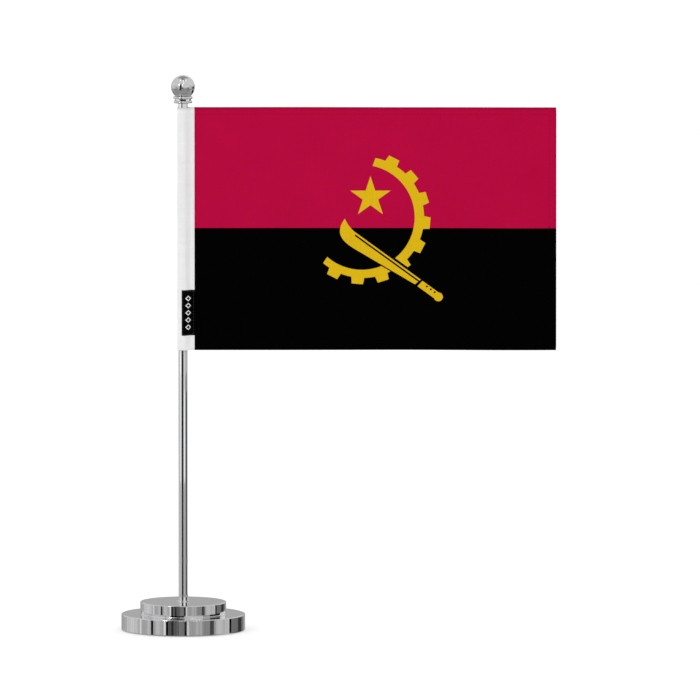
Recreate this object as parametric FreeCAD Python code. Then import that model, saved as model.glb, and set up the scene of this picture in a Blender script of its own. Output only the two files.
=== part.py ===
import FreeCAD, Part
import math
import os

V = FreeCAD.Vector
UP = V(0, 0, 1)

# Base: two stacked discs with a pad let into the underside. The upper disc stands on a low step
# and has a small lip round the pole.
LOWER_R = 36.0
LOWER_FOOT = 0.4
LOWER_TOP = 9.6
UPPER_R = 25.0
UPPER_TOP = 16.7
DISC_EDGE = 0.45
LOWER_FOOT_EDGE = 0.4
STEP_R = 25.4
STEP_H = 0.5
STEP_EDGE = 0.3
LIP_R = 3.5
LIP_H = 0.6
LIP_EDGE = 0.4
PAD_R = 33.0
PAD_THICK = 1.2
PAD_GAP = 0.15
WELL_R = 4.2
WELL_ROOF = 5.0
SCREW_HOLE_R = 1.7

# Hidden M3 screw that pulls both discs against the pole.
THREAD_R = 1.5
FLAT_WASHER_R = 3.5
FLAT_WASHER_THICK = 0.5
LOCK_WASHER_R = 3.1
LOCK_WASHER_THICK = 0.8
LOCK_WASHER_SPLIT = 0.7
WASHER_HOLE_R = 1.6
SCREW_HEAD_R = 2.8
SCREW_HEAD_H = 2.0
SCREW_HEAD_EDGE = 0.6
CROSS_SLOT_LENGTH = 3.0
CROSS_SLOT_W = 0.7
CROSS_SLOT_DEPTH = 1.1
SCREW_LENGTH = 16.0

# Pole: a plain tube with a threaded insert in each end.
POLE_R = 2.7
POLE_BORE_R = 2.1
POLE_TOP = 309.0
POLE_SEAT_GAP = 0.02
INSERT_LENGTH = 13.8
TOP_THREAD_GAP = 0.05

# Finial: spool-shaped collar, ball and the stud between them.
COLLAR_FOOT = 308.0
COLLAR_TOP = 312.1
COLLAR_LOW_R = 5.4
COLLAR_WAIST_R = 4.7
COLLAR_HIGH_R = 5.6
BEAD_H = 1.6
BEAD_SHOULDER = 1.0
BEAD_FOOT_EDGE = 0.4
COLLAR_SEAT_GAP = 0.05
COLLAR_HOLE_R = 1.6
BALL_R = 6.9
BALL_Z = 317.3
BALL_FOOT = 312.16
STUD_FOOT = 299.7
STUD_TOP = 316.7

# Flag: a cloth printed over 210 x 141.6 mm, with a white sleeve at its left.
FLAG_FOOT = 163.8
FLAG_TOP = 305.4
PRINT_X0 = 6.7
FLAG_X1 = 216.7
PANEL_X0 = 5.4
PANEL_HALF = 0.15
HEM_W = 5.0
HEM_THICK = 0.3
STITCH_INSET = 4.0
STITCH_W = 0.4
STITCH_H = 0.08

# Sleeve around the pole, and its two layers running to the seam.
SLEEVE_IN_R = 2.75
SLEEVE_OUT_R = 3.2
LAYER_IN_R = 3.25
LAYER_OUT_R = 3.6
LAYER_FLAT = 0.5
LAYER_LEAN = math.radians(41.0)
SLEEVE_STITCH_X = 6.1

# Woven label sewn on the front of the sleeve.
LABEL_OUT_R = 3.9
LABEL_X0 = -0.75
LABEL_FOOT = 172.4
LABEL_TOP = 198.9
LABEL_STITCH_INSET = 0.8


def rod(radius, z0, z1):
    return Part.makeCylinder(radius, z1 - z0, V(0, 0, z0), UP)


def ring(outer, inner, z0, z1):
    return rod(outer, z0, z1).cut(rod(inner, z0 - 1, z1 + 1))


def block(x0, x1, y0, y1, z0, z1):
    return Part.makeBox(x1 - x0, y1 - y0, z1 - z0, V(x0, y0, z0))


def rim_edges(shape, radius, z):
    found = []
    for edge in shape.Edges:
        curve = edge.Curve
        if isinstance(curve, Part.Circle) and abs(curve.Radius - radius) < 1e-6:
            if abs(curve.Center.z - z) < 1e-6:
                found.append(edge)
    return found


def rounded_rims(shape, size, rims):
    edges = []
    for radius, z in rims:
        edges += rim_edges(shape, radius, z)
    return shape.makeFillet(size, edges)


def base_lower_disc():
    disc = rod(LOWER_R, LOWER_FOOT, LOWER_TOP)
    disc = rounded_rims(disc, DISC_EDGE, [(LOWER_R, LOWER_TOP)])
    disc = rounded_rims(disc, LOWER_FOOT_EDGE, [(LOWER_R, LOWER_FOOT)])
    disc = disc.cut(rod(PAD_R + PAD_GAP, LOWER_FOOT - 1, PAD_THICK))
    disc = disc.cut(rod(WELL_R, 0, WELL_ROOF))
    return disc.cut(rod(SCREW_HOLE_R, 0, LOWER_TOP + 1))


def base_upper_disc():
    disc = rod(UPPER_R, LOWER_TOP, UPPER_TOP)
    disc = rounded_rims(disc, DISC_EDGE, [(UPPER_R, UPPER_TOP)])
    step_top = LOWER_TOP + STEP_H
    step = rounded_rims(rod(STEP_R, LOWER_TOP, step_top), STEP_EDGE, [(STEP_R, step_top)])
    lip_top = UPPER_TOP + LIP_H
    lip = rounded_rims(rod(LIP_R, LOWER_TOP, lip_top), LIP_EDGE, [(LIP_R, lip_top)])
    disc = disc.fuse([step, lip]).removeSplitter()
    return disc.cut(rod(POLE_R + POLE_SEAT_GAP, LOWER_TOP - 1, lip_top + 1))


def base_pad():
    return rod(PAD_R, 0, PAD_THICK)


def base_flat_washer():
    return ring(FLAT_WASHER_R, WASHER_HOLE_R, WELL_ROOF - FLAT_WASHER_THICK, WELL_ROOF)


def lock_washer_foot():
    return WELL_ROOF - FLAT_WASHER_THICK - LOCK_WASHER_THICK


def base_lock_washer():
    foot = lock_washer_foot()
    top = foot + LOCK_WASHER_THICK
    washer = ring(LOCK_WASHER_R, WASHER_HOLE_R, foot, top)
    half = LOCK_WASHER_SPLIT / 2
    return washer.cut(block(0, LOCK_WASHER_R + 1, -half, half, foot - 1, top + 1))


def base_screw():
    seat = lock_washer_foot()
    face = seat - SCREW_HEAD_H
    head = rounded_rims(rod(SCREW_HEAD_R, face, seat), SCREW_HEAD_EDGE, [(SCREW_HEAD_R, face)])
    reach = CROSS_SLOT_LENGTH / 2
    half = CROSS_SLOT_W / 2
    for turn in (0, 90):
        slot = block(-reach, reach, -half, half, face - 1, face + CROSS_SLOT_DEPTH)
        slot.rotate(V(0, 0, 0), UP, turn)
        head = head.cut(slot)
    return head.fuse(rod(THREAD_R, seat, seat + SCREW_LENGTH)).removeSplitter()


def pole_tube():
    return ring(POLE_R, POLE_BORE_R, LOWER_TOP, POLE_TOP)


def pole_foot_insert():
    return ring(POLE_BORE_R, THREAD_R, LOWER_TOP, LOWER_TOP + INSERT_LENGTH)


def pole_top_insert():
    return ring(POLE_BORE_R, THREAD_R + TOP_THREAD_GAP, POLE_TOP - INSERT_LENGTH, POLE_TOP)


def bead(radius, foot):
    """A ring with a full shoulder above and a small round below."""
    shape = rod(radius, foot, foot + BEAD_H)
    shape = rounded_rims(shape, BEAD_SHOULDER, [(radius, foot + BEAD_H)])
    return rounded_rims(shape, BEAD_FOOT_EDGE, [(radius, foot)])


def finial_collar():
    waist = rod(COLLAR_WAIST_R, COLLAR_FOOT, COLLAR_TOP)
    low = bead(COLLAR_LOW_R, COLLAR_FOOT)
    high = bead(COLLAR_HIGH_R, COLLAR_TOP - BEAD_H)
    spool = waist.fuse([low, high]).removeSplitter()
    seat = rod(POLE_R + COLLAR_SEAT_GAP, COLLAR_FOOT - 1, POLE_TOP + COLLAR_SEAT_GAP)
    return spool.cut(seat).cut(rod(COLLAR_HOLE_R, COLLAR_FOOT, COLLAR_TOP + 1))


def finial_ball():
    ball = Part.makeSphere(BALL_R, V(0, 0, BALL_Z))
    below = block(-BALL_R, BALL_R, -BALL_R, BALL_R, BALL_Z - 2 * BALL_R, BALL_FOOT)
    return ball.cut(below).cut(rod(THREAD_R, BALL_FOOT - 1, STUD_TOP))


def finial_stud():
    return rod(THREAD_R, STUD_FOOT, STUD_TOP)


def pole_sleeve():
    return ring(SLEEVE_OUT_R, SLEEVE_IN_R, FLAG_FOOT, FLAG_TOP)


def leaning_x(radius, depth):
    """X where the leaning line that touches a circle of this radius is at this depth."""
    return (radius - depth * math.cos(LAYER_LEAN)) / math.sin(LAYER_LEAN)


def touch_point(radius):
    return V(radius * math.sin(LAYER_LEAN), -radius * math.cos(LAYER_LEAN), 0)


def raised(wire, z0, z1):
    face = Part.Face(wire)
    face.translate(V(0, 0, z0))
    return face.extrude(V(0, 0, z1 - z0))


def front_layer():
    outline = [
        touch_point(LAYER_IN_R),
        V(leaning_x(LAYER_IN_R, 0), 0, 0),
        V(PRINT_X0, 0, 0),
        V(PRINT_X0, -LAYER_FLAT, 0),
        V(leaning_x(LAYER_OUT_R, LAYER_FLAT), -LAYER_FLAT, 0),
        touch_point(LAYER_OUT_R),
    ]
    return raised(Part.makePolygon(outline + [outline[0]]), FLAG_FOOT, FLAG_TOP)


def sleeve_seam():
    front = front_layer()
    back = front.mirror(V(0, 0, 0), V(0, 1, 0))
    both = front.fuse(back).removeSplitter()
    return both.cut(panel_slot())


def panel_slot():
    return block(PANEL_X0, FLAG_X1, -PANEL_HALF, PANEL_HALF, FLAG_FOOT - 1, FLAG_TOP + 1)


def flag_panel():
    return block(PANEL_X0, FLAG_X1, -PANEL_HALF, PANEL_HALF, FLAG_FOOT, FLAG_TOP)


def hem(x0, x1, z0, z1):
    return block(x0, x1, PANEL_HALF, PANEL_HALF + HEM_THICK, z0, z1)


def top_hem():
    return hem(PRINT_X0, FLAG_X1, FLAG_TOP - HEM_W, FLAG_TOP)


def bottom_hem():
    return hem(PRINT_X0, FLAG_X1, FLAG_FOOT, FLAG_FOOT + HEM_W)


def fly_hem():
    return hem(FLAG_X1 - HEM_W, FLAG_X1, FLAG_FOOT + HEM_W, FLAG_TOP - HEM_W)


def hem_thread(y0, y1):
    """One U-shaped row of thread along the top, the fly and the bottom."""
    half = STITCH_W / 2
    high = FLAG_TOP - STITCH_INSET
    low = FLAG_FOOT + STITCH_INSET
    out = FLAG_X1 - STITCH_INSET
    rows = block(PRINT_X0, out + half, y0, y1, high - half, high + half)
    rows = rows.fuse(block(PRINT_X0, out + half, y0, y1, low - half, low + half))
    rows = rows.fuse(block(out - half, out + half, y0, y1, low, high))
    return rows.removeSplitter()


def hem_stitching():
    back_face = PANEL_HALF + HEM_THICK
    front = hem_thread(-PANEL_HALF - STITCH_H, -PANEL_HALF)
    back = hem_thread(back_face, back_face + STITCH_H)
    return Part.makeCompound([front, back])


def sleeve_stitching():
    x0 = SLEEVE_STITCH_X - STITCH_W / 2
    x1 = SLEEVE_STITCH_X + STITCH_W / 2
    front0 = -LAYER_FLAT - STITCH_H
    above = block(x0, x1, front0, -LAYER_FLAT, LABEL_TOP, FLAG_TOP)
    below = block(x0, x1, front0, -LAYER_FLAT, FLAG_FOOT, LABEL_FOOT)
    back = block(x0, x1, LAYER_FLAT, LAYER_FLAT + STITCH_H, FLAG_FOOT, FLAG_TOP)
    return Part.makeCompound([above, below, back])


def round_point(radius, x):
    return V(x, -math.sqrt(radius * radius - x * x), 0)


def arc_to_touch(radius):
    start = round_point(radius, LABEL_X0)
    end = touch_point(radius)
    middle_x = (start.x + end.x) / 2
    return Part.Arc(start, round_point(radius, middle_x), end).toShape()


def layer_wire(inner, outer, inner_depth, outer_depth, x_end):
    """Outline of a cloth layer lying round the sleeve, down its slope and along the seam."""
    inner_bend = V(leaning_x(inner, inner_depth), -inner_depth, 0)
    outer_bend = V(leaning_x(outer, outer_depth), -outer_depth, 0)
    inner_end = V(x_end, -inner_depth, 0)
    outer_end = V(x_end, -outer_depth, 0)
    edges = [
        arc_to_touch(inner),
        Part.makeLine(touch_point(inner), inner_bend),
        Part.makeLine(inner_bend, inner_end),
        Part.makeLine(inner_end, outer_end),
        Part.makeLine(outer_end, outer_bend),
        Part.makeLine(outer_bend, touch_point(outer)),
        arc_to_touch(outer),
        Part.makeLine(round_point(outer, LABEL_X0), round_point(inner, LABEL_X0)),
    ]
    return Part.Wire(Part.__sortEdges__(edges))


def label_depth():
    return LAYER_FLAT + LABEL_OUT_R - LAYER_OUT_R


def label():
    wire = layer_wire(LAYER_OUT_R, LABEL_OUT_R, LAYER_FLAT, label_depth(), PRINT_X0)
    return raised(wire, LABEL_FOOT, LABEL_TOP)


def label_stitching():
    """A thin frame of thread on the label's face."""
    depth = label_depth()
    wire = layer_wire(LABEL_OUT_R, LABEL_OUT_R + STITCH_H, depth, depth + STITCH_H, PRINT_X0)
    skin = raised(wire, LABEL_FOOT, LABEL_TOP)
    inset = LABEL_STITCH_INSET
    x0 = LABEL_X0 + inset
    x1 = PRINT_X0 - inset
    z0 = LABEL_FOOT + inset
    z1 = LABEL_TOP - inset
    outside = block(x0, x1, -LABEL_OUT_R - 1, 0, z0, z1)
    inside = block(x0 + STITCH_W, x1 - STITCH_W, -LABEL_OUT_R - 2, 1, z0 + STITCH_W, z1 - STITCH_W)
    return skin.common(outside.cut(inside))


PARTS = [
    base_lower_disc,
    base_upper_disc,
    base_pad,
    base_screw,
    base_lock_washer,
    base_flat_washer,
    pole_tube,
    pole_foot_insert,
    pole_top_insert,
    finial_collar,
    finial_ball,
    finial_stud,
    pole_sleeve,
    sleeve_seam,
    sleeve_stitching,
    flag_panel,
    top_hem,
    bottom_hem,
    fly_hem,
    hem_stitching,
    label,
    label_stitching,
]

os.makedirs("parts", exist_ok=True)
for make_part in PARTS:
    make_part().exportStep("parts/" + make_part.__name__ + ".step")
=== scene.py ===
"""Desk flag stand: its cloth, its finishes and its studio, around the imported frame.

Lengths are in metres, except that the print, the cloth, the stitches and the screw thread are worked out in
millimetres and multiplied by MM.
"""
import math

import bmesh
import bpy
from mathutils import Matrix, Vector, geometry, noise


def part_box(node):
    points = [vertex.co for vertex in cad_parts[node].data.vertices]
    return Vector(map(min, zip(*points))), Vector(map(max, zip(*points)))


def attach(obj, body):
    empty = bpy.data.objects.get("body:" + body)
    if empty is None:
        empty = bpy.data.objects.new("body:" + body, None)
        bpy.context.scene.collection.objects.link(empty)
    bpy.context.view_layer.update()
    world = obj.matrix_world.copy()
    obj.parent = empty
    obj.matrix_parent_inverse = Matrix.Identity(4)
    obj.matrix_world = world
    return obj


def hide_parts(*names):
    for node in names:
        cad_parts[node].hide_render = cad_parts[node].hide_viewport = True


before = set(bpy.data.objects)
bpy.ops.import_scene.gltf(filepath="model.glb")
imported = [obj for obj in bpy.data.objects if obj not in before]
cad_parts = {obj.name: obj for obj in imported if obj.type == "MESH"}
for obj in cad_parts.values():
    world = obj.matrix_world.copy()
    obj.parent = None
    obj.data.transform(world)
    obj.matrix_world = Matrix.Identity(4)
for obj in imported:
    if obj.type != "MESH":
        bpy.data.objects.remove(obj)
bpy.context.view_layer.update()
MM = 0.001

# Places read from the frame.
PANEL_LOW, PANEL_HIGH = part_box("flag_panel")
PRINT_X0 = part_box("top_hem")[0][0]
FLAG_X1 = PANEL_HIGH[0]
FLAG_FOOT = PANEL_LOW[2]
FLAG_TOP = PANEL_HIGH[2]
PRINT_W = (FLAG_X1 - PRINT_X0) / MM
PRINT_H = (FLAG_TOP - FLAG_FOOT) / MM
POLE_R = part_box("pole_tube")[1][0]
LABEL_LOW, LABEL_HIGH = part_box("label")


# ---------------------------------------------------------------- materials


def new_material(name):
    material = bpy.data.materials.new(name)
    material.use_nodes = True
    return material, material.node_tree.nodes["Principled BSDF"]


def add(material, kind, **values):
    """Adds a node, setting its properties and, where the name is a socket's, that input."""
    node = material.node_tree.nodes.new(kind)
    for key, value in values.items():
        if hasattr(node, key):
            setattr(node, key, value)
        else:
            node.inputs[key.replace("_", " ")].default_value = value
    return node


def link(material, source, target):
    material.node_tree.links.new(source, target)


def object_coords(material):
    return add(material, "ShaderNodeTexCoord").outputs["Object"]


def ranged(material, value, low, high, from_low=0.0, from_high=1.0):
    node = add(material, "ShaderNodeMapRange")
    node.inputs["From Min"].default_value = from_low
    node.inputs["From Max"].default_value = from_high
    node.inputs["To Min"].default_value = low
    node.inputs["To Max"].default_value = high
    link(material, value, node.inputs["Value"])
    return node.outputs["Result"]


def noise_value(material, coords, scale, detail=3.0):
    node = add(material, "ShaderNodeTexNoise")
    node.inputs["Scale"].default_value = scale
    node.inputs["Detail"].default_value = detail
    link(material, coords, node.inputs["Vector"])
    return node.outputs["Fac"]


# Noise seldom leaves these values.
NOISE_LOW = 0.3
NOISE_HIGH = 0.7


def mottled(material, noise_output, low, high):
    """The noise spread over this range."""
    return ranged(material, noise_output, low, high, NOISE_LOW, NOISE_HIGH)


def bump(material, shader, height, strength, distance):
    node = add(material, "ShaderNodeBump")
    node.inputs["Strength"].default_value = strength
    node.inputs["Distance"].default_value = distance
    link(material, height, node.inputs["Height"])
    link(material, node.outputs["Normal"], shader.inputs["Normal"])


SMEAR_SCALE = 90.0
SMOOTHEST = 0.6
ROUGHEST = 1.6
PLATING_WAVE_SCALE = 55.0
PLATING_WAVE_BUMP = 0.15
PLATING_WAVE_DEPTH = 0.00006


def chrome(name, colour, roughness):
    """Polished plating: faint smears and a very slight unevenness."""
    material, shader = new_material(name)
    shader.inputs["Base Color"].default_value = (*colour, 1)
    shader.inputs["Metallic"].default_value = 1.0
    coords = object_coords(material)
    smear = noise_value(material, coords, SMEAR_SCALE)
    smeared = mottled(material, smear, roughness * SMOOTHEST, roughness * ROUGHEST)
    link(material, smeared, shader.inputs["Roughness"])
    wave = noise_value(material, coords, PLATING_WAVE_SCALE, 2.0)
    bump(material, shader, wave, PLATING_WAVE_BUMP, PLATING_WAVE_DEPTH)
    return material


GRAIN_SHADE = 0.8
GRAIN_BUMP = 0.2
GRAIN_DEPTH = 0.0001


def plain(name, colour, roughness, metallic=0.0, grain=400.0, gloss=0.5):
    """An even colour with a fine grain."""
    material, shader = new_material(name)
    shader.inputs["Metallic"].default_value = metallic
    shader.inputs["Roughness"].default_value = roughness
    shader.inputs["Specular IOR Level"].default_value = gloss
    coords = object_coords(material)
    speck = noise_value(material, coords, grain)
    mix = add(material, "ShaderNodeMix", data_type="RGBA")
    mix.inputs["A"].default_value = (*[c * GRAIN_SHADE for c in colour], 1)
    mix.inputs["B"].default_value = (*colour, 1)
    link(material, speck, mix.inputs["Factor"])
    link(material, mix.outputs["Result"], shader.inputs["Base Color"])
    bump(material, shader, speck, GRAIN_BUMP, GRAIN_DEPTH)
    return material


PATTERN = "flat_pattern"


def math_node(material, operation, first, second=None):
    node = add(material, "ShaderNodeMath", operation=operation)
    for socket, value in zip(node.inputs, (first, second)):
        if isinstance(value, (int, float)):
            socket.default_value = value
        elif value is not None:
            link(material, value, socket)
    return node.outputs["Value"]


def mixed(material, factor, first, second):
    node = add(material, "ShaderNodeMix")
    for socket, value in zip((node.inputs["A"], node.inputs["B"]), (first, second)):
        if isinstance(value, (int, float)):
            socket.default_value = value
        else:
            link(material, value, socket)
    link(material, factor, node.inputs["Factor"])
    return node.outputs["Result"]


def streaks(material, place, across_scale, along_scale):
    """Noise stretched along the threads, so that some yarns are a little thicker or paler."""
    mapping = add(material, "ShaderNodeMapping")
    mapping.inputs["Scale"].default_value = (across_scale, along_scale, 1.0)
    link(material, place, mapping.inputs["Vector"])
    return noise_value(material, mapping.outputs["Vector"], 1.0, 2.0)


TUCKED_UNDER = 0.55
YARN_SCALE = 40.0
YARN_TONE = (0.93, 1.07)
PATCH_SCALE = 45.0
PATCH_TONE = (0.97, 1.03)
# Share of the painted weave shade's range that is painted light on the thread crests.
CREST_LIGHT_SHARE = 0.4
WEAVE_BUMP = 0.5


def woven(name, colour, roughness, pitch=0.28, gloss=0.1, depth=0.06, yarn_gap_shade=0.16):
    """Plain weave with threads this far apart in millimetres, each crossing over and under the next. Its
    colour carries painted shade where a thread dips under its neighbour and painted light on each crest.
    """
    material, shader = new_material(name)
    shader.inputs["Roughness"].default_value = roughness
    shader.inputs["Specular IOR Level"].default_value = gloss
    place = add(material, "ShaderNodeUVMap", uv_map=PATTERN).outputs["UV"]
    axes = add(material, "ShaderNodeSeparateXYZ")
    link(material, place, axes.inputs[0])
    half_wave = math.pi / pitch / MM
    warp_wave = math_node(material, "SINE", math_node(material, "MULTIPLY", axes.outputs["X"], half_wave))
    weft_wave = math_node(material, "SINE", math_node(material, "MULTIPLY", axes.outputs["Y"], half_wave))
    warp = math_node(material, "ABSOLUTE", warp_wave)
    weft = math_node(material, "ABSOLUTE", weft_wave)
    warp_over = math_node(material, "MULTIPLY", warp, ranged(material, weft, TUCKED_UNDER, 1.0))
    weft_over = math_node(material, "MULTIPLY", weft, ranged(material, warp, TUCKED_UNDER, 1.0))
    is_warp = math_node(material, "GREATER_THAN", math_node(material, "MULTIPLY", warp_wave, weft_wave), 0.0)
    height = mixed(material, is_warp, weft_over, warp_over)
    thread_scale = 1.0 / pitch / MM
    warp_tone = streaks(material, place, thread_scale, YARN_SCALE)
    weft_tone = streaks(material, place, YARN_SCALE, thread_scale)
    tone = mixed(material, is_warp, weft_tone, warp_tone)
    patch = noise_value(material, place, PATCH_SCALE, 4.0)
    # Painted shade: the print colour is darkened where a thread dips under its neighbour and lightened a
    # little on its crest, then given the random yarn and patch tones.
    shade = ranged(material, height, 1.0 - yarn_gap_shade, 1.0 + yarn_gap_shade * CREST_LIGHT_SHARE)
    shade = math_node(material, "MULTIPLY", shade, mottled(material, tone, *YARN_TONE))
    shade = math_node(material, "MULTIPLY", shade, mottled(material, patch, *PATCH_TONE))
    dye_with_weave_shade = add(material, "ShaderNodeVectorMath", operation="SCALE")
    dye_with_weave_shade.inputs[0].default_value = colour
    link(material, shade, dye_with_weave_shade.inputs["Scale"])
    link(material, dye_with_weave_shade.outputs["Vector"], shader.inputs["Base Color"])
    bump(material, shader, height, WEAVE_BUMP, depth * MM)
    return material


RED = woven("printed_red", (0.515, 0.0020, 0.052), 0.75, gloss=0.03)
BLACK = woven("printed_black", (0.0006, 0.0006, 0.0006), 0.8, gloss=0.01)
YELLOW = woven("printed_yellow", (0.785, 0.505, 0.008), 0.75, gloss=0.03)
WHITE = woven("sleeve_white", (0.92, 0.92, 0.92), 0.85)
LABEL_BLACK = woven("label_weave", (0.001, 0.001, 0.001), 0.7, pitch=0.14, gloss=0.015)
THREAD_WHITE = plain("white_thread", (0.93, 0.93, 0.93), 0.8)
LABEL_THREAD = plain("label_thread", (0.012, 0.012, 0.012), 0.7)
THREAD_RED = plain("red_thread", (0.50, 0.0025, 0.052), 0.8, gloss=0.03)
THREAD_BLACK = plain("black_thread", (0.001, 0.001, 0.001), 0.8, gloss=0.02)
BASE_CHROME = chrome("base_chrome", (0.66, 0.66, 0.67), 0.05)
POLE_CHROME = chrome("pole_chrome", (0.66, 0.66, 0.67), 0.05)
FINIAL_CHROME = chrome("finial_chrome", (0.66, 0.66, 0.67), 0.05)
STEEL = plain("zinc_steel", (0.55, 0.56, 0.58), 0.35, 1.0)
BRASS = plain("insert_brass", (0.72, 0.52, 0.22), 0.3, 1.0)
FOAM = plain("pad_foam", (0.02, 0.02, 0.02), 0.95, 0.0, 2500.0)

NODE_MATERIALS = {
    BASE_CHROME: ("base_lower_disc", "base_upper_disc"),
    POLE_CHROME: ("pole_tube",),
    FINIAL_CHROME: ("finial_collar", "finial_ball"),
    STEEL: ("base_screw", "base_lock_washer", "base_flat_washer"),
    BRASS: ("pole_foot_insert", "pole_top_insert"),
    FOAM: ("base_pad",),
}
for material, names in NODE_MATERIALS.items():
    for name in names:
        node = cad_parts[name]
        for material_slot in node.material_slots:
            material_slot.material = material


# ---------------------------------------------------------------- print on the flag
# In millimetres from the cloth's lower hoist corner.


def turned(centre, radius, degrees):
    """A point this far round clockwise from straight up."""
    angle = math.radians(degrees)
    return Vector((centre[0] + radius * math.sin(angle), centre[1] + radius * math.cos(angle)))


def arc(centre, radius, start, end, step=2.0):
    count = max(1, math.ceil(abs(end - start) / step))
    return [turned(centre, radius, start + (end - start) * i / count) for i in range(count + 1)]


def full_circle(centre, radius, step):
    return arc(centre, radius, 0, 360 - step, step)


def curve(knot_a, handle_a, handle_b, knot_b, count=14):
    points = [Vector((*p, 0)) for p in (knot_a, handle_a, handle_b, knot_b)]
    return [p.to_2d() for p in geometry.interpolate_bezier(*points, count)]


# The emblem is laid out from the middle of the cloth, in units of a sixtieth of its height.
UNIT = PRINT_H / 60
HEART = Vector((PRINT_W, PRINT_H)) / 2


def spot(right, up):
    """A place this many units from the middle of the cloth."""
    return HEART + Vector((right, up)) * UNIT


# Half a gear: nine of its sixteen teeth, which span half a turn.
GEAR_CENTRE = spot(-3.3, 2.8)
BORE_R = 13.0 * UNIT
RIM_R = 15.0 * UNIT
RIM_SHIFT = Vector((0.3, 0.0)) * UNIT
TOOTH_H = 1.6 * UNIT
TOOTH_FOOT_HALF = 1.6 * UNIT
TOOTH_TIP_HALF = 1.4 * UNIT
TOOTH_STEP = 360 / 16
TEETH = 9
FIRST_TOOTH = 27.5
LAST_TOOTH = FIRST_TOOTH + (TEETH - 1) * TOOTH_STEP
GEAR_START = FIRST_TOOTH - 0.7 * TOOTH_STEP
GEAR_END = LAST_TOOTH + 0.6 * TOOTH_STEP

# A regular five-pointed star, whose notches lie on the lines between its points.
STAR_CENTRE = spot(-1.2, 7.8)
STAR_R = 5.2 * UNIT
STAR_INNER = STAR_R * math.cos(math.radians(72)) / math.cos(math.radians(36))

# The blade is laid out from its guard, in units along the handle and out to the side of its straight edge.
GUARD = spot(11.0, -13.6)
BLADE_FALL = math.radians(36)
ALONG = Vector((math.cos(BLADE_FALL), -math.sin(BLADE_FALL)))
OUT = Vector((math.sin(BLADE_FALL), math.cos(BLADE_FALL)))
HALF_WIDTH = 0.9
BLADE_LENGTH = 20.0
BELLY_DEPTH = 2.5
BELLY_SWELL = 0.3
TIP_REACH = 4.4
TIP_RISE = 2.1
EDGE_RISE = TIP_RISE / 6
GROOVE_DEPTH = 0.4
GROOVE_W = 0.4
HALO_EDGE = 0.6
HALO_BELLY = 0.3
GUARD_GAP = 0.4
GUARD_SLANT = 0.1
HEEL_SLANT = 0.5
HANDLE_LENGTH = 5.6
POMMEL_R = 1.1 * UNIT
DOT_R = 0.25 * UNIT
DOT_FIRST = 1.8
DOT_STEP = 1.2
DOT_OUT = 0.4

# The two colours meet a little above the middle.
MIDDLE = PRINT_H / 2 + 0.4


def on_blade(along, out):
    return GUARD + (ALONG * along + OUT * out) * UNIT


def gear_outline():
    """Half a gear, a little thinner at one side because its rim and its bore have two centres."""
    rim_centre = GEAR_CENTRE + RIM_SHIFT
    tip_r = RIM_R + TOOTH_H
    outline = arc(GEAR_CENTRE, BORE_R, GEAR_START, GEAR_END)
    foot = math.degrees(math.asin(TOOTH_FOOT_HALF / RIM_R))
    tip = math.degrees(math.asin(TOOTH_TIP_HALF / tip_r))
    place = GEAR_END
    for i in reversed(range(TEETH)):
        tooth = FIRST_TOOTH + TOOTH_STEP * i
        outline += arc(rim_centre, RIM_R, place, tooth + foot)
        outline.append(turned(rim_centre, tip_r, tooth + tip))
        outline.append(turned(rim_centre, tip_r, tooth - tip))
        place = tooth - foot
    return outline + arc(rim_centre, RIM_R, place, GEAR_START)


def star_outline():
    points = []
    for i in range(10):
        points.append(turned(STAR_CENTRE, STAR_INNER if i % 2 else STAR_R, 36 * i))
    return points


def blade_corners():
    """The straight edge's two ends, then the heel and the belly."""
    edge_start = on_blade(-BLADE_LENGTH, HALF_WIDTH)
    edge_end = on_blade(-GUARD_GAP, HALF_WIDTH)
    heel = on_blade(-GUARD_GAP - HEEL_SLANT, -HALF_WIDTH)
    belly = on_blade(TIP_REACH / 2 - BLADE_LENGTH, -BELLY_DEPTH)
    return edge_start, edge_end, heel, belly


def blade_outline():
    """A straight edge and a straight belly, joined by a swept point."""
    edge_start, edge_end, heel, belly = blade_corners()
    tip = on_blade(-BLADE_LENGTH - TIP_REACH, TIP_RISE)
    belly_pull = on_blade(-BLADE_LENGTH - TIP_REACH / 3, -BELLY_DEPTH - BELLY_SWELL)
    tip_pull = on_blade(-BLADE_LENGTH - TIP_REACH, -BELLY_DEPTH)
    outline = curve(tip, tip_pull, belly_pull, belly)
    outline += [heel, edge_end]
    edge_pull = on_blade(-BLADE_LENGTH - TIP_REACH / 3, HALF_WIDTH)
    point_pull = on_blade(-BLADE_LENGTH - TIP_REACH * 2 / 3, HALF_WIDTH + EDGE_RISE)
    return outline + curve(edge_start, edge_pull, point_pull, tip)[:-1]


def groove_outline():
    edge_start, edge_end = blade_corners()[:2]
    near = OUT * -GROOVE_DEPTH * UNIT
    far = OUT * -(GROOVE_DEPTH + GROOVE_W) * UNIT
    return [edge_start + near, edge_end + near, edge_end + far, edge_start + far]


def halo_outline():
    """The bare strip that keeps the gear clear of the blade."""
    edge_start, edge_end, heel, belly = blade_corners()
    above = OUT * HALO_EDGE * UNIT
    below = OUT * -HALO_BELLY * UNIT
    return [edge_start + above, edge_end + above, heel + below, belly + below]


def handle_outline():
    return [
        on_blade(GUARD_SLANT, HALF_WIDTH),
        on_blade(HANDLE_LENGTH, HALF_WIDTH),
        on_blade(HANDLE_LENGTH, -HALF_WIDTH),
        on_blade(-GUARD_SLANT, -HALF_WIDTH),
    ]


POMMEL = on_blade(HANDLE_LENGTH, 0)
DOTS = [on_blade(DOT_FIRST + i * DOT_STEP, DOT_OUT) for i in range(3)]


def inside(point, outline):
    """Even-odd test."""
    result = False
    previous = outline[-1]
    for corner in outline:
        if (corner.y > point.y) != (previous.y > point.y):
            reach = (previous.x - corner.x) * (point.y - corner.y) / (previous.y - corner.y)
            if point.x < corner.x + reach:
                result = not result
        previous = corner
    return result


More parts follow.
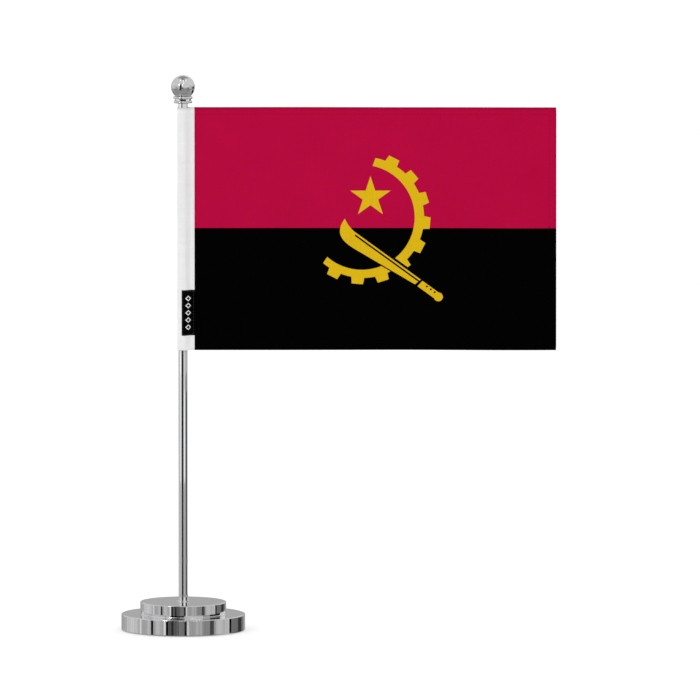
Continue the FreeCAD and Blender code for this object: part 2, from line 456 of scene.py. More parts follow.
GEAR = gear_outline()
STAR = star_outline()
BLADE = blade_outline()
GROOVE = groove_outline()
HALO = halo_outline()
HANDLE = handle_outline()
POMMEL_RING = full_circle(POMMEL, POMMEL_R, 15)
DOT_RINGS = [full_circle(dot, DOT_R, 30) for dot in DOTS]


def is_yellow(point):
    if inside(point, STAR):
        return True
    if inside(point, BLADE):
        return not inside(point, GROOVE)
    if inside(point, HANDLE) or inside(point, POMMEL_RING):
        return not any(inside(point, ring) for ring in DOT_RINGS)
    return inside(point, GEAR) and not inside(point, HALO)


def colour_index(point):
    if is_yellow(point):
        return 2
    return 0 if point.y > MIDDLE else 1


# ---------------------------------------------------------------- cloth


# Two waves that grow away from the pole, and a push backwards at the lower fly corner, in millimetres. Turns
# are counted along the cloth and up it, and the starts are in radians.
LONG_WAVE = 2.0
LONG_GROWTH = 1.3
LONG_TURNS = (0.85, 0.16)
LONG_START = -0.5
SHORT_WAVE = 0.7
SHORT_TURNS = (1.9, -0.35)
SHORT_START = 1.1
CORNER_PUSH = 1.2


def sway(u, v):
    """How far the cloth stands off its flat plane, at u, v millimetres from its lower hoist corner."""
    s = max(0.0, u / PRINT_W)
    t = v / PRINT_H
    long_turns = LONG_TURNS[0] * s + LONG_TURNS[1] * t
    short_turns = SHORT_TURNS[0] * s + SHORT_TURNS[1] * t
    y = LONG_WAVE * s ** LONG_GROWTH * math.sin(2 * math.pi * long_turns + LONG_START)
    y += SHORT_WAVE * s * math.sin(2 * math.pi * short_turns + SHORT_START)
    y += CORNER_PUSH * s ** 3 * (1 - t) ** 2
    return y * MM


CLOTH_T = 0.22 * MM
GRID = 2.5
SAME_POINT = 1e-5
SLIVER_AREA = 1e-9


def steps(start, end, size):
    """Evenly spaced values from start to end, about this far apart."""
    count = max(1, round(abs(end - start) / size))
    return [start + (end - start) * i / count for i in range(count + 1)]


def closed_loop(points, first):
    count = len(points)
    return [(first + i, first + (i + 1) % count) for i in range(count)]


def print_plan():
    """Points and lines of the flag's flat pattern: the border, a grid and every outline of the print."""
    points = []
    edges = []
    for outline in [GEAR, STAR, BLADE, GROOVE, HALO, HANDLE, POMMEL_RING] + DOT_RINGS:
        edges += closed_loop(outline, len(points))
        points += outline
    x0 = (PANEL_LOW[0] - PRINT_X0) / MM
    lines = steps(x0, PRINT_W, GRID)
    heights = steps(0, MIDDLE, GRID)
    divide = len(heights) - 1
    heights += steps(MIDDLE, PRINT_H, GRID)[1:]
    columns = len(lines) - 1
    rows = len(heights) - 1
    grid = {}
    for i, u in enumerate(lines):
        for j, v in enumerate(heights):
            grid[i, j] = len(points)
            points.append(Vector((u, v)))
    for i in range(columns):
        for j in (0, divide, rows):
            edges.append((grid[i, j], grid[i + 1, j]))
    for j in range(rows):
        for i in (0, columns):
            edges.append((grid[i, j], grid[i, j + 1]))
    return points, edges


def mesh_object(name, vertices, faces, materials, indices=None, flat=None):
    """A mesh piece. flat gives each vertex's place on the flat cloth, in metres, for the weave."""
    mesh = bpy.data.meshes.new(name)
    mesh.from_pydata([tuple(v) for v in vertices], [], faces)
    if flat:
        pattern = mesh.uv_layers.new(name=PATTERN)
        for loop in mesh.loops:
            pattern.uv[loop.index].vector = flat[loop.vertex_index]
    for material in materials:
        mesh.materials.append(material)
    if indices:
        mesh.polygons.foreach_set("material_index", indices)
    mesh.validate()
    mesh.shade_smooth()
    piece = bpy.data.objects.new(name, mesh)
    bpy.context.scene.collection.objects.link(piece)
    return piece


def make_flag():
    points, edges = print_plan()
    flat, _, faces = geometry.delaunay_2d_cdt(points, edges, [], 0, SAME_POINT)[:3]
    count = len(flat)
    vertices = []
    for side in (-1, 1):
        for p in flat:
            y = sway(p.x, p.y) + side * CLOTH_T / 2
            vertices.append((PRINT_X0 + p.x * MM, y, FLAG_FOOT + p.y * MM))
    indices = []
    polygons = []
    border = {}
    for face in faces:
        a, b, c = (flat[i] for i in face)
        if geometry.area_tri(a, b, c) < SLIVER_AREA:
            continue
        colour = colour_index((a + b + c) / 3)
        if (b - a).cross(c - a) < 0:
            face = face[::-1]
        polygons.append(tuple(face))
        polygons.append(tuple(count + i for i in reversed(face)))
        indices += [colour, colour]
        for i in range(3):
            edge = (face[i], face[(i + 1) % 3])
            border[edge] = colour
    for (i, j), colour in border.items():
        if (j, i) not in border:
            polygons.append((j, i, count + i, count + j))
            indices.append(colour)
    pattern = [(p.x * MM, p.y * MM) for p in flat] * 2
    return mesh_object("printed_cloth", vertices, polygons, [RED, BLACK, YELLOW], indices, pattern)


flag = make_flag()


# ---------------------------------------------------------------- hems
# The cloth's own edge, folded to the back.

HEM_W = 5.0
STITCH_INSET = 4.0
THICK = CLOTH_T / MM
HEM_BACK = 1.6 * THICK
ON_EDGE = 1e-6
# Section of the fold: distance in from the edge, and depth behind the cloth's middle, in millimetres.
FOLD = (
    (0.0, -0.5 * THICK),
    (-0.09, -0.2 * THICK),
    (-0.14, 0.5 * THICK),
    (-0.09, 1.3 * THICK),
    (0.0, HEM_BACK),
    (HEM_W - 0.1, HEM_BACK),
    (HEM_W, 1.45 * THICK),
    (HEM_W, 0.55 * THICK),
    (0.02, 0.55 * THICK),
    (0.02, -0.5 * THICK),
)


def u_path(inset):
    """Points along the top, the fly and the bottom, this far in from the cloth's edge."""
    high = PRINT_H - inset
    out = PRINT_W - inset
    path = [(u, high) for u in steps(0, out, GRID)]
    path += [(out, v) for v in steps(high, MIDDLE, GRID)[1:]]
    path += [(out, v) for v in steps(MIDDLE, inset, GRID)[1:]]
    return path + [(u, inset) for u in steps(out, 0, GRID)[1:]]


def cloth_point(u, v, depth):
    """A point at this depth behind the cloth's middle, all in millimetres."""
    return Vector((PRINT_X0 + u * MM, sway(u, v) + depth * MM, FLAG_FOOT + v * MM))


def make_hems():
    """A strip along the cloth's three free edges, with the fold's section."""
    edge = u_path(0.0)
    whole = len(edge)
    vertices = []
    pattern = []
    for inset, depth in FOLD:
        for u, v in edge:
            if v > PRINT_H - ON_EDGE:
                v -= inset
                u = min(u, PRINT_W - inset)
            elif v < ON_EDGE:
                v += inset
                u = min(u, PRINT_W - inset)
            else:
                u -= inset
                v = min(max(v, inset), PRINT_H - inset)
            vertices.append(cloth_point(u, v, depth))
            pattern.append((u * MM, v * MM))
    faces = []
    indices = []
    rings = len(FOLD)
    for i in range(whole - 1):
        middle = (edge[i][1] + edge[i + 1][1]) / 2
        for j in range(rings):
            k = (j + 1) % rings
            faces.append((j * whole + i, k * whole + i, k * whole + i + 1, j * whole + i + 1))
            indices.append(0 if middle > MIDDLE else 1)
    for end in (0, whole - 1):
        ring = [j * whole + end for j in range(rings)]
        faces.append(ring if end else ring[::-1])
        indices.append(1 if end else 0)
    return mesh_object("hem_folds", vertices, faces, [RED, BLACK], indices, pattern)


hems = make_hems()


# ---------------------------------------------------------------- white sleeve round the pole

SLEEVE_T = 0.28
SLEEVE_CLEARANCE = 0.25
LAYER_GAP = 0.02
SLEEVE_R = POLE_R / MM + SLEEVE_CLEARANCE + SLEEVE_T / 2
SEAM_DEPTH = THICK / 2 + SLEEVE_T / 2 + LAYER_GAP
SEAM_LEAN = math.radians(41.0)
SEAM_X1 = PRINT_X0 / MM
SEAM_STEP = 0.35
LEAN_STEPS = 8
ROUND_STEPS = 22
SMOOTHINGS = 3
JOIN_DISTANCE = 1e-7


def front_half(x_end):
    """The sleeve's middle line from its cut edge to the pole's left, as seen from above."""
    bend = (SLEEVE_R - SEAM_DEPTH * math.cos(SEAM_LEAN)) / math.sin(SEAM_LEAN)
    touch = Vector((SLEEVE_R * math.sin(SEAM_LEAN), -SLEEVE_R * math.cos(SEAM_LEAN)))
    line = [Vector((x, -SEAM_DEPTH)) for x in steps(x_end, bend, SEAM_STEP)]
    corner = line[-1]
    line += [corner.lerp(touch, i / LEAN_STEPS) for i in range(1, LEAN_STEPS + 1)]
    start = math.pi / 2 - SEAM_LEAN
    for i in range(1, ROUND_STEPS + 1):
        angle = -start - (math.pi - start) * i / ROUND_STEPS
        line.append(Vector((SLEEVE_R * math.cos(angle), SLEEVE_R * math.sin(angle))))
    for _ in range(SMOOTHINGS):
        inner = [(a + b * 2 + c) / 4 for a, b, c in zip(line, line[1:], line[2:])]
        line = [line[0]] + inner + [line[-1]]
    return line


def sleeve_line():
    front = front_half(SEAM_X1)
    back = [Vector((p.x, -p.y)) for p in reversed(front[:-1])]
    return front + back


def line_normals(line):
    """Unit vectors pointing out of the loop."""
    normals = []
    for i in range(len(line)):
        way = line[min(i + 1, len(line) - 1)] - line[max(i - 1, 0)]
        normals.append(Vector((-way.y, way.x)).normalized())
    return normals


def tidy_mesh(piece):
    """Joins points that coincide and turns every face outwards."""
    fix = bmesh.new()
    fix.from_mesh(piece.data)
    bmesh.ops.remove_doubles(fix, verts=fix.verts, dist=JOIN_DISTANCE)
    bmesh.ops.dissolve_degenerate(fix, edges=fix.edges, dist=JOIN_DISTANCE)
    bmesh.ops.recalc_face_normals(fix, faces=fix.faces)
    fix.to_mesh(piece.data)
    fix.free()


def skin(name, rows, material):
    """A closed cloth shell from rows of (outer, inner) point pairs."""
    count = len(rows[0])
    vertices = [pair[side] for side in (0, 1) for row in rows for pair in row]
    half = len(rows) * count
    faces = []
    for i in range(len(rows) - 1):
        for j in range(count - 1):
            a = i * count + j
            faces.append((a, a + 1, a + 1 + count, a + count))
            faces.append((half + a, half + a + count, half + a + 1 + count, half + a + 1))
    for j in range(count - 1):
        faces.append((j, half + j, half + j + 1, j + 1))
        a = (len(rows) - 1) * count + j
        faces.append((a, a + 1, half + a + 1, half + a))
    for i in range(len(rows) - 1):
        a = i * count
        faces.append((a, a + count, half + a + count, half + a))
        b = a + count - 1
        faces.append((b, half + b, half + b + count, b + count))
    pattern = []
    for row in rows:
        run = 0.0
        for j, pair in enumerate(row):
            run += (pair[0] - row[j - 1][0]).length if j else 0.0
            pattern.append((run, pair[0].z))
    piece = mesh_object(name, vertices, faces, [material], None, pattern * 2)
    tidy_mesh(piece)
    return piece


SLEEVE_EASE = 0.05
SLACK = 0.13
SLACK_END = 4.5
SLACK_FADE = 3.0
SLACK_SCALE_ACROSS = 0.25
SLACK_SCALE_UP = 0.05
SLEEVE_STEP = 1.6


def sleeve_slack(point, z):
    """Gentle unevenness of the loose cloth, none at the seam."""
    loose = min(1.0, max(0.0, (SLACK_END - point.x) / SLACK_FADE))
    place = Vector((point.x * SLACK_SCALE_ACROSS, point.y * SLACK_SCALE_ACROSS, z / MM * SLACK_SCALE_UP))
    return SLACK * loose * noise.noise(place)


def make_sleeve():
    line = sleeve_line()
    normals = line_normals(line)
    rows = []
    for v in steps(0, PRINT_H, SLEEVE_STEP):
        z = FLAG_FOOT + v * MM
        row = []
        for point, normal in zip(line, normals):
            middle = point + normal * (SLEEVE_EASE + sleeve_slack(point, z))
            outer = middle + normal * SLEEVE_T / 2
            inner = middle - normal * SLEEVE_T / 2
            row.append([Vector((p.x * MM, p.y * MM, z)) for p in (outer, inner)])
        rows.append(row)
    return skin("sleeve_cloth", rows, WHITE)


sleeve = make_sleeve()


# ---------------------------------------------------------------- woven label on the sleeve

LABEL_T = 0.22
LABEL_X1 = 7.2
LABEL_LIFT = SLEEVE_EASE + SLEEVE_T / 2 + LAYER_GAP
LABEL_STEP = 0.7
LABEL_EDGE_SLACK = 0.1


def label_line():
    """Points and normals down the sleeve's front where the label lies."""
    line = front_half(LABEL_X1)
    normals = line_normals(line)
    first = LABEL_LOW[0] / MM
    return [(p, n) for p, n in zip(line, normals) if p.x > first - LABEL_EDGE_SLACK and p.y < 0]


def on_label(point, normal, height, z):
    lifted = point + normal * (LABEL_LIFT + height)
    return Vector((lifted.x * MM, lifted.y * MM, z))


def make_label():
    line = label_line()
    rows = []
    for z in steps(LABEL_LOW[2], LABEL_HIGH[2], LABEL_STEP * MM):
        rows.append([[on_label(p, n, LABEL_T, z), on_label(p, n, 0.0, z)] for p, n in line])
    return skin("label_cloth", rows, LABEL_BLACK)


label = make_label()


def label_place(x):
    """The label line's point and normal at this x, in millimetres."""
    line = label_line()
    for (a, na), (b, nb) in zip(line, line[1:]):
        if b.x <= x <= a.x:
            share = (x - b.x) / (a.x - b.x)
            return b.lerp(a, share), nb.lerp(na, share).normalized()
    return line[-1]


MOTIF_X = 2.75
LOZENGES = 5
LOZENGE_STEP = 4.2
LOZENGE_HALF = 1.65
LOZENGE_HOLE = 0.95
LOZENGE_STEPS = 6
MOTIF_SINK = 0.03
MOTIF_LIFT = 0.05


def lozenge_ring(half, z, height):
    """Points round a lozenge, close enough together to follow the label's curve."""
    corners = [Vector(corner) * half for corner in ((-1, 0), (0, -1), (1, 0), (0, 1))]
    ring = []
    for k, corner in enumerate(corners):
        following = corners[(k + 1) % 4]
        for i in range(LOZENGE_STEPS):
            place = corner.lerp(following, i / LOZENGE_STEPS)
            point, normal = label_place(MOTIF_X + place.x)
            ring.append(on_label(point, normal, height, z + place.y * MM))
    return ring


def make_motif():
    """A plain column of woven lozenges."""
    vertices = []
    faces = []
    middle = (LABEL_LOW[2] + LABEL_HIGH[2]) / 2
    for i in range(LOZENGES):
        z = middle + (i - (LOZENGES - 1) / 2) * LOZENGE_STEP * MM
        first = len(vertices)
        for half in (LOZENGE_HALF, LOZENGE_HOLE):
            for height in (LABEL_T - MOTIF_SINK, LABEL_T + MOTIF_LIFT):
                vertices += lozenge_ring(half, z, height)
        count = 4 * LOZENGE_STEPS
        outer, outer_top, inner, inner_top = (first + count * ring for ring in range(4))
        for k in range(count):
            n = (k + 1) % count
            faces.append((outer + k, outer + n, outer_top + n, outer_top + k))
            faces.append((outer_top + k, outer_top + n, inner_top + n, inner_top + k))
            faces.append((inner + n, inner + k, inner_top + k, inner_top + n))
            faces.append((outer + n, outer + k, inner + k, inner + n))
    piece = mesh_object("label_motif", vertices, faces, [THREAD_WHITE])
    tidy_mesh(piece)
    return piece


motif = make_motif()


# ---------------------------------------------------------------- stitches

STITCH_PITCH = 2.6
STITCH_LENGTH = 1.9
THREAD_R = 0.13
THREAD_SIDES = 6
THREAD_RINGS = 7
THREAD_ARCH = 1.1
THREAD_SUNK = 0.5
THREAD_END = 0.55
THREAD_SWELL = 0.45
HEM_STITCH_START = 0.8
SEAM_STITCH_INSET = 0.7
SEAM_STITCH_START = 0.5


def thread_loop(vertices, faces, start, end, normal):
    """One stitch: a round thread that rises out of the cloth and dives back in."""
    way = (end - start).normalized()
    side = way.cross(normal).normalized()
    first = len(vertices)
    for i in range(THREAD_RINGS):
        t = i / (THREAD_RINGS - 1)
        lift = (math.sin(math.pi * t) * THREAD_ARCH - THREAD_SUNK) * THREAD_R * MM
        centre = start.lerp(end, t) + normal * lift
        radius = THREAD_R * MM * (THREAD_END + THREAD_SWELL * math.sin(math.pi * t))
        for j in range(THREAD_SIDES):
            angle = 2 * math.pi * j / THREAD_SIDES
            vertices.append(centre + (side * math.cos(angle) + normal * math.sin(angle)) * radius)
    for i in range(THREAD_RINGS - 1):
        for j in range(THREAD_SIDES):
            a = first + i * THREAD_SIDES + j
            b = first + i * THREAD_SIDES + (j + 1) % THREAD_SIDES
            faces.append((a, b, b + THREAD_SIDES, a + THREAD_SIDES))
    faces.append([first + j for j in reversed(range(THREAD_SIDES))])
    faces.append([first + (THREAD_RINGS - 1) * THREAD_SIDES + j for j in range(THREAD_SIDES)])


def stitched(name, runs, materials, pick=None):
    """Rows of stitches. A run is a list of (start, end, normal)."""
    vertices = []
    faces = []
    indices = []
    for start, end, normal in runs:
        thread_loop(vertices, faces, start, end, normal)
        index = pick(start) if pick else 0
        indices += [index] * (len(faces) - len(indices))
    return mesh_object(name, vertices, faces, materials, indices)


def hem_runs(depth, normal):
    runs = []
    high = PRINT_H - STITCH_INSET
    out = PRINT_W - STITCH_INSET
    for v in (high, STITCH_INSET):
        for u in steps(HEM_STITCH_START, out - STITCH_LENGTH, STITCH_PITCH):
            runs.append((cloth_point(u, v, depth), cloth_point(u + STITCH_LENGTH, v, depth), normal))
    for v in steps(STITCH_INSET, high - STITCH_LENGTH, STITCH_PITCH):
        runs.append((cloth_point(out, v, depth), cloth_point(out, v + STITCH_LENGTH, depth), normal))
    return runs


FRONT = Vector((0, -1, 0))
BACK = Vector((0, 1, 0))
MIDDLE_Z = FLAG_FOOT + MIDDLE * MM
hem_thread = stitched(
    "hem_thread",
    hem_runs(-0.5 * THICK, FRONT) + hem_runs(HEM_BACK, BACK),
    [THREAD_RED, THREAD_BLACK],
    lambda place: 0 if place.z > MIDDLE_Z else 1,
)


def seam_runs():
    runs = []
    x = (SEAM_X1 - SEAM_STITCH_INSET) * MM
    depth = (SEAM_DEPTH + SLEEVE_T / 2 + SLEEVE_EASE) * MM
    last = PRINT_H - SEAM_STITCH_START - STITCH_LENGTH
    for normal in (FRONT, BACK):
        for v in steps(SEAM_STITCH_START, last, STITCH_PITCH):
            z = FLAG_FOOT + v * MM
            hidden = LABEL_LOW[2] - STITCH_LENGTH * MM < z < LABEL_HIGH[2]
            if normal == FRONT and hidden:
                continue
            start = Vector((x, normal.y * depth, z))
            runs.append((start, start + Vector((0, 0, STITCH_LENGTH * MM)), normal))
    return runs


sleeve_thread = stitched("sleeve_thread", seam_runs(), [THREAD_WHITE])

LABEL_STITCH = 1.3
LABEL_PITCH = 1.8
LABEL_INSET = 0.7
LABEL_SEAM_INSET = 0.4


def label_runs():
    """A row of stitches along each of the label's four sides."""
    runs = []
    x0 = LABEL_LOW[0] / MM + LABEL_INSET
    x1 = LABEL_X1 - LABEL_INSET - LABEL_SEAM_INSET
    low = LABEL_LOW[2] + LABEL_INSET * MM
    high = LABEL_HIGH[2] - LABEL_INSET * MM
    for x in (x0, x1):
        point, normal = label_place(x)
        out = Vector((normal.x, normal.y, 0))
        for z in steps(low, high - LABEL_STITCH * MM, LABEL_PITCH * MM):
            start = on_label(point, normal, LABEL_T, z)
            runs.append((start, start + Vector((0, 0, LABEL_STITCH * MM)), out))
    for z in (low, high):
        for x in steps(x0, x1 - LABEL_STITCH, LABEL_PITCH):
            a, normal_a = label_place(x)
            b, normal_b = label_place(x + LABEL_STITCH)
            middle = (normal_a + normal_b).normalized()
            out = Vector((middle.x, middle.y, 0))
            runs.append((on_label(a, normal_a, LABEL_T, z), on_label(b, normal_b, LABEL_T, z), out))
    return runs


label_thread = stitched("label_thread", label_runs(), [LABEL_THREAD])

for piece in (flag, hems, sleeve, label, motif, hem_thread, sleeve_thread, label_thread):
    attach(piece, "flag")
    piece.visible_glossy = False
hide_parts("flag_panel")
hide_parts("top_hem", "bottom_hem", "fly_hem")
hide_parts("hem_stitching")
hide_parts("pole_sleeve", "sleeve_seam")
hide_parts("sleeve_stitching")
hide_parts("label")
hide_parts("label_stitching")
SLEEVE_FLAT = sum((b - a).length for a, b in zip(sleeve_line(), sleeve_line()[1:])) * MM


# ---------------------------------------------------------------- finial's threaded stud

SCREW_PITCH = 0.5
SCREW_DEPTH = 0.3
SCREW_SIDES = 24
SCREW_ROWS = 8
SCREW_POINT = 0.6


def screw_radius(full, angle, z, from_end):
    """Radius of a right-hand vee thread, cut back to its root at both ends."""
    turn = (z / SCREW_PITCH - angle / (2 * math.pi)) % 1
    depth = SCREW_DEPTH * (1 - abs(2 * turn - 1))
    return full - max(depth, SCREW_DEPTH * (1 - from_end / SCREW_POINT))


def make_stud():
    low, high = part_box("finial_stud")
    foot, top = low[2] / MM, high[2] / MM
    full = high[0] / MM
    heights = steps(foot, top, SCREW_PITCH / SCREW_ROWS)
    vertices = []
    for z in heights:
        for j in range(SCREW_SIDES):
            angle = 2 * math.pi * j / SCREW_SIDES
            radius = screw_radius(full, angle, z, min(z - foot, top - z))
            place = Vector((radius * math.cos(angle), radius * math.sin(angle), z))
            vertices.append(place * MM)
    faces = []
    for i in range(len(heights) - 1):
        for j in range(SCREW_SIDES):
            a = i * SCREW_SIDES + j
            b = i * SCREW_SIDES + (j + 1) % SCREW_SIDES
            faces.append((a, b, b + SCREW_SIDES, a + SCREW_SIDES))
    faces.append(list(reversed(range(SCREW_SIDES))))
    faces.append([len(vertices) - SCREW_SIDES + j for j in range(SCREW_SIDES)])
    return mesh_object("threaded_stud", vertices, faces, [STEEL])


stud = make_stud()
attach(stud, "ball")
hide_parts("finial_stud")


# ---------------------------------------------------------------- studio

CAMERA_DISTANCE = 16.0
CAMERA_ELEVATION = math.radians(6.1)
VIEW_WIDTH = 0.4068
SENSOR = 36.0
AIM = Vector((0.097, 0.0, 0.1637))


def make_camera():
    data = bpy.data.cameras.new("camera")
    data.sensor_width = SENSOR
    data.lens = SENSOR * CAMERA_DISTANCE / VIEW_WIDTH
    data.clip_end = 30.0
    camera = bpy.data.objects.new("camera", data)
    back = Vector((0, -math.cos(CAMERA_ELEVATION), math.sin(CAMERA_ELEVATION)))
    camera.location = AIM + back * CAMERA_DISTANCE
    camera.rotation_euler = (AIM - camera.location).to_track_quat("-Z", "Y").to_euler()
    bpy.context.scene.collection.objects.link(camera)
    bpy.context.scene.camera = camera


# What the chrome reflects, painted in this order: azimuth from and to, in degrees from -Y towards +X,
# elevation from and to, and brightness.
CARDS = (
    (-200, 200, -95, -15, 0.36),
    (-150, 150, -1, 95, 0.9),
    (-200, 200, 11, 95, 0.84),
    (-200, 200, 76, 95, 0.36),
    (-200, -128, 46, 80, 0.36),
    (128, 200, 46, 80, 0.36),
    (-60, -38, 60, 72, 2.2),
    (-30, -8, 62, 74, 0.25),
    (-4, 14, 60, 72, 2.2),
    (30, 46, 62, 74, 0.3),
    (50, 70, 58, 70, 1.6),
    (-14, -4, 19, 31, 3.0),
    (5, 14, 38, 48, 2.2),
    (-200, -160, -30, 12, 0.47),
    (160, 200, -30, 12, 0.47),
    (-165, -146, -20, 10, 0.45),
    (-130, -100, -20, 10, 0.80),
    (-100, -91, -20, 10, 0.66),
    (-89, -84, -20, 10, 0.88),
    (-84, -74, -20, 10, 0.55),
    (-70, -63, -20, 10, 0.68),
    (-62.5, -57.5, -20, 6, 0.0),
    (-53, -44, -14, 10, 0.66),
    (-36.5, -32.5, -20, 12, 0.95),
    (-32.5, -27.5, -40, 8, 0.0),
    (-27.5, -22.5, -40, 33, 0.12),
    (-22.5, -17, -40, 33, 0.03),
    (-17, -11, -40, 33, 0.12),
    (-11, -7, -26, 2, 0.13),
    (-7, 2, -26, 2, 0.24),
    (2.2, 7.4, -34, 0, 0.0),
    (7.4, 10, -20, 8, 0.95),
    (36, 50.5, -28, -2, 0.32),
    (51, 60, -46, -2, 0.08),
    (64, 92, -16, 10, 0.64),
    (92, 96, -16, 10, 0.8),
    (96.5, 102.5, -36, 0, 0.0),
    (102.5, 124, -36, 0, 0.20),
    (124, 141, -36, 0, 0.05),
    (141, 150, -30, 6, 0.22),
    (150, 160, -30, 6, 0.36),
    (-30, -20, 0, 34, 0.0),
    (-34, -17, -38, -10, 0.0),
    (70, 86, -48, -36, 0.05),
    (-152, -138, -40, -22, 0.05),
    (92, 106, -52, -13, 1.1),
    (116, 166, -34, -13, 0.0),
)
# How softly a card's sides and ends fade, in degrees.
CARD_EDGE = 1.2
CARD_END = 4.0
BETWEEN_CARDS = 0.53
CARD_MOTTLE_SCALE = 10.0
CARD_MOTTLE = (0.78, 1.22)
ROOM_LIGHT = 0.752


def band(world, angle, low, high, soft):
    """1 between two angles in degrees and 0 outside, with soft edges."""
    middle = math_node(world, "SUBTRACT", angle, math.radians((low + high) / 2))
    distance = math_node(world, "ABSOLUTE", middle)
    half = math.radians((high - low) / 2)
    edge = math.radians(soft) / 2
    return ranged(world, distance, 1.0, 0.0, half - edge, half + edge)


def make_world():
    """White to the camera, pale light on the cloth, and the cards in the chrome."""
    world = bpy.data.worlds.new("studio")
    world.use_nodes = True
    bpy.context.scene.world = world
    coords = add(world, "ShaderNodeTexCoord").outputs["Generated"]
    axes = add(world, "ShaderNodeSeparateXYZ")
    link(world, coords, axes.inputs[0])
    forward = math_node(world, "MULTIPLY", axes.outputs["Y"], -1.0)
    azimuth = math_node(world, "ARCTAN2", axes.outputs["X"], forward)
    elevation = math_node(world, "ARCSINE", axes.outputs["Z"])
    room = BETWEEN_CARDS
    for start, end, low, high, brightness in CARDS:
        wide = band(world, azimuth, start, end, CARD_EDGE)
        tall = band(world, elevation, low, high, CARD_END)
        room = mixed(world, math_node(world, "MULTIPLY", wide, tall), room, brightness)
    mottle = mottled(world, noise_value(world, coords, CARD_MOTTLE_SCALE, 4.0), *CARD_MOTTLE)
    room = math_node(world, "MULTIPLY", room, mottle)
    path = add(world, "ShaderNodeLightPath")
    plain_room = mixed(world, path.outputs["Is Camera Ray"], ROOM_LIGHT, 1.0)
    final = mixed(world, path.outputs["Is Glossy Ray"], plain_room, room)
    link(world, final, world.node_tree.nodes["Background"].inputs["Color"])


FLOOR_HALF = 6
FLOOR_TONE = 0.93
FLOOR_GLOW = 0.33


def make_floor():
    corners = [(x * FLOOR_HALF, y * FLOOR_HALF, 0) for x, y in ((-1, -1), (1, -1), (1, 1), (-1, 1))]
    floor = mesh_object("floor", corners, [(0, 1, 2, 3)], [])
    material, shader = new_material("floor_paper")
    shader.inputs["Base Color"].default_value = (FLOOR_TONE, FLOOR_TONE, FLOOR_TONE, 1)
    shader.inputs["Roughness"].default_value = 0.9
    shader.inputs["Emission Color"].default_value = (1, 1, 1, 1)
    shader.inputs["Emission Strength"].default_value = FLOOR_GLOW
    floor.data.materials.append(material)
    floor.visible_glossy = False


# Strips standing round the pole for the mirror rays only: distance, azimuth from and to, height from and to,
# brightness. The far ones are seen by the pole and stay above what the base's walls see. The close ones are
# seen by the finial's collar and by the pole just below it.
STRIPS = (
    (0.35, -86, -50, 0.001, 0.048, 0.68),
    (0.35, -86, -50, 0.048, 0.112, 1.1),
    (0.35, -86, -50, 0.112, 0.127, 1.4),
    (0.35, -33, 4, 0.001, 0.127, 0.0),
    (0.35, 18, 50, 0.001, 0.048, 0.6),
    (0.35, 18, 50, 0.048, 0.102, 1.25),
    (0.35, 18, 50, 0.102, 0.127, 0.95),
    (0.35, 52, 72, 0.001, 0.112, 0.45),
    (0.35, 52, 72, 0.112, 0.127, 0.7),
    (0.35, 74, 114, 0.001, 0.102, 0.03),
    (0.35, 74, 114, 0.102, 0.113, 0.3),
    (0.35, 74, 114, 0.113, 0.127, 0.62),
    (0.35, 116, 150, 0.001, 0.127, 1.0),
    (0.05, -100, -48, 0.3046, 0.3059, 1.4),
    (0.05, -46, 42, 0.3052, 0.3059, 0.0),
    (0.05, -26, 34, 0.3046, 0.3052, 0.0),
    (0.05, 46, 100, 0.3046, 0.3059, 1.2),
    (0.05, -110, -40, 0.2992, 0.3034, 1.2),
    (0.05, -40, -14, 0.2992, 0.3034, 0.1),
    (0.05, -14, 110, 0.2992, 0.3034, 0.95),
)
STRIP_STEP = 6.0
# Flat rings seen only from above: inner and outer radius, height, azimuth from and to, and the darkest and
# brightest of their mottle. The grey ones hide what lies below them from the finial. The low ones carry the
# strips on for the pole's foot, out of sight of the base.
SHELVES = (
    (0.02, 0.28, 0.17, 0, 360, 0.24, 0.5),
    (0.018, 0.03, 0.3112, -14, 320, 0.24, 0.5),
    (0.05, 0.213, 0.0152, -86, -50, 0.68, 0.68),
    (0.05, 0.213, 0.0152, -33, 4, 0.0, 0.0),
    (0.05, 0.213, 0.0152, 18, 50, 0.6, 0.6),
    (0.05, 0.213, 0.0152, 52, 72, 0.45, 0.45),
    (0.05, 0.213, 0.0152, 74, 114, 0.03, 0.03),
    (0.05, 0.213, 0.0152, 116, 150, 1.0, 1.0),
)
SHELF_STEP = 5.0
SHELF_MOTTLE_SCALE = 22.0


def glowing(name, brightness):
    """A mirror-only surface of even brightness."""
    material, shader = new_material(name)
    shader.inputs["Base Color"].default_value = (0, 0, 0, 1)
    shader.inputs["Specular IOR Level"].default_value = 0.0
    shader.inputs["Emission Color"].default_value = (1, 1, 1, 1)
    shader.inputs["Emission Strength"].default_value = brightness
    return material


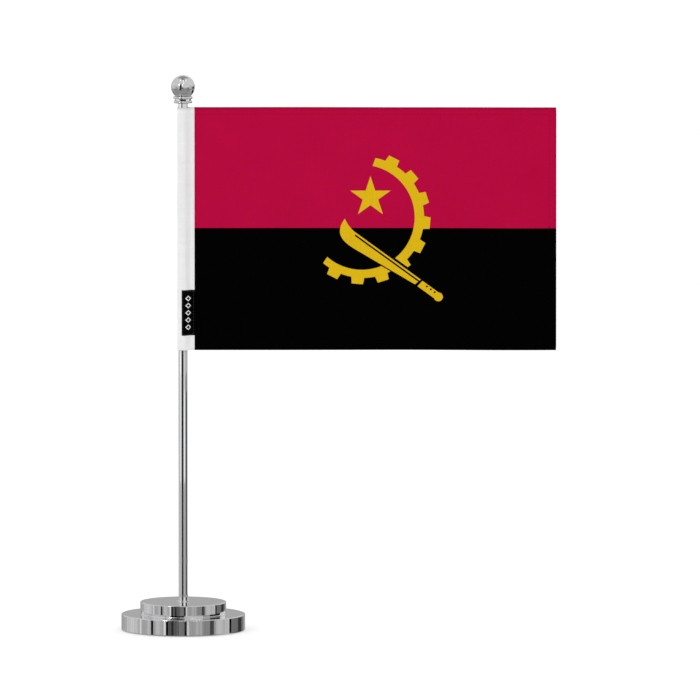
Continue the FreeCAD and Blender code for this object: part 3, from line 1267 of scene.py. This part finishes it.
def reflect_only(piece):
    piece.visible_camera = False
    piece.visible_diffuse = False
    piece.visible_shadow = False
    piece.visible_transmission = False


def on_circle(radius, degrees, z):
    turn = math.radians(degrees)
    return (radius * math.sin(turn), -radius * math.cos(turn), z)


def make_strip(distance, start, end, low, high, brightness):
    angles = steps(start, end, STRIP_STEP)
    vertices = [on_circle(distance, angle, z) for angle in angles for z in (low, high)]
    faces = [(2 * i, 2 * i + 2, 2 * i + 3, 2 * i + 1) for i in range(len(angles) - 1)]
    name = f"strip_{start}_{round(low * 10000)}"
    reflect_only(mesh_object(name, vertices, faces, [glowing(name, brightness)]))


def make_shelf(inner, outer, height, start, end, darkest, brightest):
    """Glowing from above and clear from below."""
    angles = steps(start, end, SHELF_STEP)
    vertices = [on_circle(radius, angle, height) for angle in angles for radius in (inner, outer)]
    faces = [(2 * i, 2 * i + 1, 2 * i + 3, 2 * i + 2) for i in range(len(angles) - 1)]
    name = f"shelf_{start}_{round(height * 10000)}"
    material = glowing(name, 0.0)
    shader = material.node_tree.nodes["Principled BSDF"]
    tone = noise_value(material, object_coords(material), SHELF_MOTTLE_SCALE)
    glow = mottled(material, tone, darkest, brightest)
    link(material, glow, shader.inputs["Emission Strength"])
    side = add(material, "ShaderNodeNewGeometry").outputs["Backfacing"]
    link(material, ranged(material, side, 1.0, 0.0), shader.inputs["Alpha"])
    reflect_only(mesh_object(name, vertices, faces, [material]))


KEY_PLACE = Vector((-1.23, -1.53, 1.24))
KEY_SIZE = 0.26
KEY_POWER = 3.4


def make_light(name, place, size, power):
    data = bpy.data.lights.new(name, "AREA")
    data.shape = "SQUARE"
    data.size = size
    data.energy = power
    light = bpy.data.objects.new(name, data)
    light.location = place
    light.rotation_euler = (AIM - light.location).to_track_quat("-Z", "Y").to_euler()
    bpy.context.scene.collection.objects.link(light)


make_camera()
make_world()
make_floor()
for strip_card in STRIPS:
    make_strip(*strip_card)
for shelf_ring in SHELVES:
    make_shelf(*shelf_ring)
make_light("key", KEY_PLACE, KEY_SIZE, KEY_POWER)
bpy.context.scene.view_settings.view_transform = "Standard"
